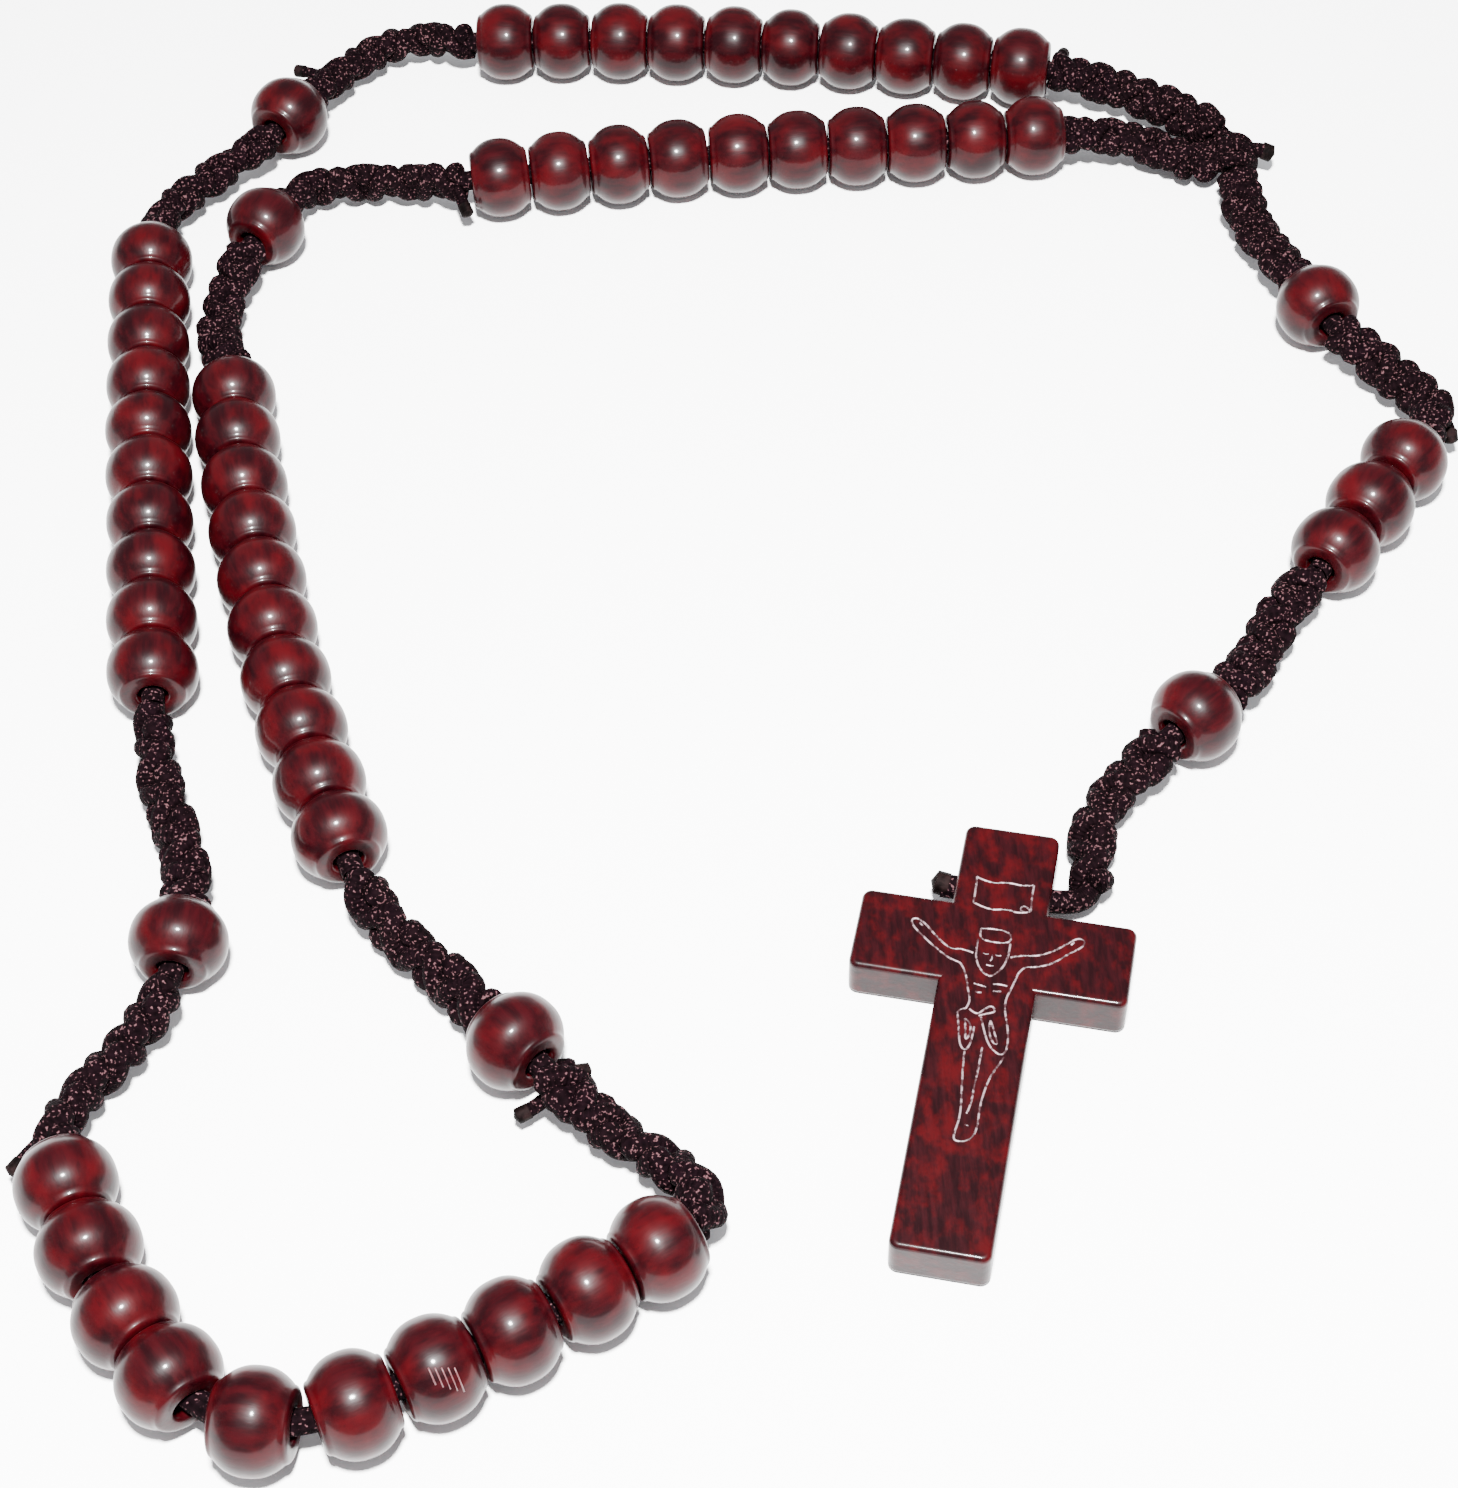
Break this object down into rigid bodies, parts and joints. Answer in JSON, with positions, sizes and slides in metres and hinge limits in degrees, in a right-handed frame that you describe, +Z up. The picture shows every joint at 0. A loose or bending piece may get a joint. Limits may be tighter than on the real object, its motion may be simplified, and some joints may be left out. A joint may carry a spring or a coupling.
{
  "type": "rosary",
  "caption": "Corded rosary laid flat: glossy turned wooden beads and knotted cord spacers on a core cord, a junction knot, and a wooden cross with an engraved figure.",
  "frame": {"origin": "on the table under the middle of the whole object", "axes": "+Y from the front row of beads towards the back row, +Z up from the table, +X towards the pendant"},
  "size_m": [0.1297, 0.1691, 0.008],
  "materials": {
    "bead_wood": "glossy dark red lacquer over turned wood",
    "cross_wood": "glossy dark red lacquer with a silvery engraving",
    "knotted_cord": "braided nylon, slightly shiny",
    "core_cord": "braided nylon, slightly shiny"
  },
  "bodies": {
    "rows": {"knotted_spacer_01": "knotted_cord", "knotted_spacer_10": "knotted_cord", "junction_knot": "knotted_cord", "loop_cord_rows": "core_cord"},
    "corner": {"knotted_spacer_02": "knotted_cord", "knotted_spacer_03": "knotted_cord", "knotted_spacer_08": "knotted_cord", "knotted_spacer_09": "knotted_cord", "loop_cord_corner": "core_cord"},
    "sides": {"loop_cord_sides": "core_cord"},
    "lower": {"knotted_spacer_04": "knotted_cord", "knotted_spacer_07": "knotted_cord", "loop_cord_lower": "core_cord"},
    "front": {"knotted_spacer_05": "knotted_cord", "knotted_spacer_06": "knotted_cord", "loop_cord_front": "core_cord"},
    "strand_1": {"knotted_spacer_11": "knotted_cord", "pendant_cord_1": "core_cord"},
    "strand_2": {"knotted_spacer_12": "knotted_cord", "pendant_cord_2": "core_cord"},
    "strand_3": {"knotted_spacer_13": "knotted_cord", "pendant_cord_3": "core_cord"},
    "strand_4": {"knotted_spacer_14": "knotted_cord", "pendant_cord_4": "core_cord"},
    "cross": {"cross": "cross_wood"},
    "decade_1_beads_01_02": {"decade_1_beads_01_02": "bead_wood"},
    "decade_1_beads_03_04": {"decade_1_beads_03_04": "bead_wood"},
    "decade_1_beads_05_06": {"decade_1_beads_05_06": "bead_wood"},
    "decade_1_beads_07_08": {"decade_1_beads_07_08": "bead_wood"},
    "decade_1_beads_09_10": {"decade_1_beads_09_10": "bead_wood"},
    "decade_2_beads_01_02": {"decade_2_beads_01_02": "bead_wood"},
    "decade_2_beads_03_04": {"decade_2_beads_03_04": "bead_wood"},
    "decade_2_beads_05_06": {"decade_2_beads_05_06": "bead_wood"},
    "decade_2_beads_07_08": {"decade_2_beads_07_08": "bead_wood"},
    "decade_2_beads_09_10": {"decade_2_beads_09_10": "bead_wood"},
    "decade_3_bead_05": {"decade_3_bead_05": "bead_wood"},
    "decade_3_bead_06": {"decade_3_bead_06": "bead_wood"},
    "decade_3_beads_01_02": {"decade_3_beads_01_02": "bead_wood"},
    "decade_3_beads_03_04": {"decade_3_beads_03_04": "bead_wood"},
    "decade_3_beads_07_08": {"decade_3_beads_07_08": "bead_wood"},
    "decade_3_beads_09_10": {"decade_3_beads_09_10": "bead_wood"},
    "decade_4_beads_01_02": {"decade_4_beads_01_02": "bead_wood"},
    "decade_4_beads_03_04": {"decade_4_beads_03_04": "bead_wood"},
    "decade_4_beads_05_06": {"decade_4_beads_05_06": "bead_wood"},
    "decade_4_beads_07_08": {"decade_4_beads_07_08": "bead_wood"},
    "decade_4_beads_09_10": {"decade_4_beads_09_10": "bead_wood"},
    "decade_5_beads_01_02": {"decade_5_beads_01_02": "bead_wood"},
    "decade_5_beads_03_04": {"decade_5_beads_03_04": "bead_wood"},
    "decade_5_beads_05_06": {"decade_5_beads_05_06": "bead_wood"},
    "decade_5_beads_07_08": {"decade_5_beads_07_08": "bead_wood"},
    "decade_5_beads_09_10": {"decade_5_beads_09_10": "bead_wood"},
    "single_bead_1": {"single_bead_1": "bead_wood"},
    "single_bead_2": {"single_bead_2": "bead_wood"},
    "single_bead_3": {"single_bead_3": "bead_wood"},
    "single_bead_4": {"single_bead_4": "bead_wood"},
    "single_bead_5": {"single_bead_5": "bead_wood"},
    "single_bead_6": {"single_bead_6": "bead_wood"},
    "trio_bead_1": {"trio_bead_1": "bead_wood"},
    "trio_bead_2": {"trio_bead_2": "bead_wood"},
    "trio_bead_3": {"trio_bead_3": "bead_wood"}
  },
  "joints": [
    {"name": "fold_1", "type": "hinge", "parent": "rows", "child": "corner", "pos_m": [-0.03, 0.0675, 0.004], "axis": [0, 1, 0], "range_deg": [0, 45]},
    {"name": "fold_2", "type": "hinge", "parent": "corner", "child": "sides", "pos_m": [-0.05645, 0.03865, 0.004], "axis": [-0.4345, 0.9007, 0], "range_deg": [0, 45]},
    {"name": "fold_3", "type": "hinge", "parent": "sides", "child": "lower", "pos_m": [-0.0455, -0.02345, 0.004], "axis": [-0.6977, 0.7164, 0], "range_deg": [0, 45]},
    {"name": "fold_4", "type": "hinge", "parent": "lower", "child": "front", "pos_m": [-0.0353, -0.04755, 0.004], "axis": [-0.9502, 0.3115, 0], "range_deg": [0, 45]},
    {"name": "lift_1", "type": "hinge", "parent": "rows", "child": "strand_1", "pos_m": [0.0492, 0.0542, 0.0028], "axis": [-1, 0, 0], "range_deg": [0, 45]},
    {"name": "lift_2", "type": "hinge", "parent": "strand_1", "child": "strand_2", "pos_m": [0.0549, 0.029, 0.004], "axis": [-0.9023, -0.4311, 0], "range_deg": [0, 45]},
    {"name": "lift_3", "type": "hinge", "parent": "strand_2", "child": "strand_3", "pos_m": [0.0479, -0.0031, 0.004], "axis": [-0.8035, 0.5953, 0], "range_deg": [0, 45]},
    {"name": "lift_4", "type": "hinge", "parent": "strand_3", "child": "strand_4", "pos_m": [0.0323, -0.0214, 0.004], "axis": [-0.6606, 0.7507, 0], "range_deg": [0, 45]},
    {"name": "cross_swing", "type": "hinge", "parent": "strand_4", "child": "cross", "pos_m": [0.01716, -0.03576, 0.002], "axis": [-0.974, 0.2264, 0], "range_deg": [0, 75]},
    {"name": "spin_decade_1_beads_01_02", "type": "hinge", "parent": "rows", "child": "decade_1_beads_01_02", "pos_m": [-0.02334, 0.07899, 0.004], "axis": [0.9995, -0.032, 0], "continuous": true},
    {"name": "spin_decade_1_beads_03_04", "type": "hinge", "parent": "rows", "child": "decade_1_beads_03_04", "pos_m": [-0.01098, 0.07819, 0.004], "axis": [0.9952, -0.0977, 0], "continuous": true},
    {"name": "spin_decade_1_beads_05_06", "type": "hinge", "parent": "rows", "child": "decade_1_beads_05_06", "pos_m": [0.00127, 0.07674, 0.004], "axis": [0.9906, -0.1371, 0], "continuous": true},
    {"name": "spin_decade_1_beads_07_08", "type": "hinge", "parent": "rows", "child": "decade_1_beads_07_08", "pos_m": [0.01347, 0.07469, 0.004], "axis": [0.981, -0.1939, 0], "continuous": true},
    {"name": "spin_decade_1_beads_09_10", "type": "hinge", "parent": "rows", "child": "decade_1_beads_09_10", "pos_m": [0.02549, 0.07222, 0.004], "axis": [0.9781, -0.2082, 0], "continuous": true},
    {"name": "spin_decade_2_beads_01_02", "type": "hinge", "parent": "sides", "child": "decade_2_beads_01_02", "pos_m": [-0.06084, 0.04206, 0.004], "axis": [0.0689, -0.9976, 0], "continuous": true},
    {"name": "spin_decade_2_beads_03_04", "type": "hinge", "parent": "sides", "child": "decade_2_beads_03_04", "pos_m": [-0.05979, 0.02978, 0.004], "axis": [0.1023, -0.9948, 0], "continuous": true},
    {"name": "spin_decade_2_beads_05_06", "type": "hinge", "parent": "sides", "child": "decade_2_beads_05_06", "pos_m": [-0.05845, 0.01759, 0.004], "axis": [0.1152, -0.9933, 0], "continuous": true},
    {"name": "spin_decade_2_beads_07_08", "type": "hinge", "parent": "sides", "child": "decade_2_beads_07_08", "pos_m": [-0.05703, 0.00542, 0.004], "axis": [0.118, -0.993, 0], "continuous": true},
    {"name": "spin_decade_2_beads_09_10", "type": "hinge", "parent": "sides", "child": "decade_2_beads_09_10", "pos_m": [-0.05561, -0.00675, 0.004], "axis": [0.1129, -0.9936, 0], "continuous": true},
    {"name": "spin_decade_3_bead_05", "type": "hinge", "parent": "front", "child": "decade_3_bead_05", "pos_m": [-0.04056, -0.08146, 0.004], "axis": [0.9912, -0.1327, 0], "continuous": true},
    {"name": "spin_decade_3_bead_06", "type": "hinge", "parent": "front", "child": "decade_3_bead_06", "pos_m": [-0.0335, -0.08042, 0.004], "axis": [0.9286, 0.371, 0], "continuous": true},
    {"name": "spin_decade_3_beads_01_02", "type": "hinge", "parent": "front", "child": "decade_3_beads_01_02", "pos_m": [-0.05525, -0.06423, 0.004], "axis": [0.3964, -0.9181, 0], "continuous": true},
    {"name": "spin_decade_3_beads_03_04", "type": "hinge", "parent": "front", "child": "decade_3_beads_03_04", "pos_m": [-0.04886, -0.07523, 0.004], "axis": [0.6026, -0.7981, 0], "continuous": true},
    {"name": "spin_decade_3_beads_07_08", "type": "hinge", "parent": "front", "child": "decade_3_beads_07_08", "pos_m": [-0.02501, -0.07641, 0.004], "axis": [0.8901, 0.4558, 0], "continuous": true},
    {"name": "spin_decade_3_beads_09_10", "type": "hinge", "parent": "front", "child": "decade_3_beads_09_10", "pos_m": [-0.01419, -0.07031, 0.004], "axis": [0.8515, 0.5243, 0], "continuous": true},
    {"name": "spin_decade_4_beads_01_02", "type": "hinge", "parent": "sides", "child": "decade_4_beads_01_02", "pos_m": [-0.05065, 0.02201, 0.004], "axis": [0.1439, -0.9896, 0], "continuous": true},
    {"name": "spin_decade_4_beads_03_04", "type": "hinge", "parent": "sides", "child": "decade_4_beads_03_04", "pos_m": [-0.04849, 0.00982, 0.004], "axis": [0.2038, -0.979, 0], "continuous": true},
    {"name": "spin_decade_4_beads_05_06", "type": "hinge", "parent": "sides", "child": "decade_4_beads_05_06", "pos_m": [-0.04582, -0.00219, 0.004], "axis": [0.2312, -0.9729, 0], "continuous": true},
    {"name": "spin_decade_4_beads_07_08", "type": "hinge", "parent": "sides", "child": "decade_4_beads_07_08", "pos_m": [-0.0426, -0.01414, 0.004], "axis": [0.2891, -0.9573, 0], "continuous": true},
    {"name": "spin_decade_4_beads_09_10", "type": "hinge", "parent": "sides", "child": "decade_4_beads_09_10", "pos_m": [-0.03874, -0.02588, 0.004], "axis": [0.3348, -0.9423, 0], "continuous": true},
    {"name": "spin_decade_5_beads_01_02", "type": "hinge", "parent": "rows", "child": "decade_5_beads_01_02", "pos_m": [-0.02339, 0.05662, 0.004], "axis": [0.9924, 0.1229, 0], "continuous": true},
    {"name": "spin_decade_5_beads_03_04", "type": "hinge", "parent": "rows", "child": "decade_5_beads_03_04", "pos_m": [-0.01118, 0.05799, 0.004], "axis": [0.9949, 0.1007, 0], "continuous": true},
    {"name": "spin_decade_5_beads_05_06", "type": "hinge", "parent": "rows", "child": "decade_5_beads_05_06", "pos_m": [0.00116, 0.0589, 0.004], "axis": [0.999, 0.0454, 0], "continuous": true},
    {"name": "spin_decade_5_beads_07_08", "type": "hinge", "parent": "rows", "child": "decade_5_beads_07_08", "pos_m": [0.01343, 0.05935, 0.004], "axis": [0.9996, 0.028, 0], "continuous": true},
    {"name": "spin_decade_5_beads_09_10", "type": "hinge", "parent": "rows", "child": "decade_5_beads_09_10", "pos_m": [0.0257, 0.0598, 0.004], "axis": [0.999, 0.0452, 0], "continuous": true},
    {"name": "spin_single_bead_1", "type": "hinge", "parent": "corner", "child": "single_bead_1", "pos_m": [-0.04893, 0.06763, 0.004], "axis": [-0.459, -0.8884, 0], "continuous": true},
    {"name": "spin_single_bead_2", "type": "hinge", "parent": "lower", "child": "single_bead_2", "pos_m": [-0.05013, -0.03901, 0.004], "axis": [-0.0733, -0.9973, 0], "continuous": true},
    {"name": "spin_single_bead_3", "type": "hinge", "parent": "lower", "child": "single_bead_3", "pos_m": [-0.02261, -0.04983, 0.004], "axis": [0.67, -0.7423, 0], "continuous": true},
    {"name": "spin_single_bead_4", "type": "hinge", "parent": "corner", "child": "single_bead_4", "pos_m": [-0.05002, 0.04985, 0.004], "axis": [-0.4111, -0.9116, 0], "continuous": true},
    {"name": "spin_single_bead_5", "type": "hinge", "parent": "strand_1", "child": "single_bead_5", "pos_m": [0.05372, 0.0324, 0.004], "axis": [0.3273, -0.9449, 0], "continuous": true},
    {"name": "spin_single_bead_6", "type": "hinge", "parent": "strand_3", "child": "single_bead_6", "pos_m": [0.03502, -0.01904, 0.004], "axis": [-0.7541, -0.6567, 0], "continuous": true},
    {"name": "spin_trio_bead_1", "type": "hinge", "parent": "strand_2", "child": "trio_bead_1", "pos_m": [0.0582, 0.01081, 0.004], "axis": [-0.5972, -0.8021, 0], "continuous": true},
    {"name": "spin_trio_bead_2", "type": "hinge", "parent": "strand_2", "child": "trio_bead_2", "pos_m": [0.05412, 0.0053, 0.004], "axis": [-0.5939, -0.8045, 0], "continuous": true},
    {"name": "spin_trio_bead_3", "type": "hinge", "parent": "strand_2", "child": "trio_bead_3", "pos_m": [0.05004, -0.00021, 0.004], "axis": [-0.5954, -0.8035, 0], "continuous": true}
  ]
}
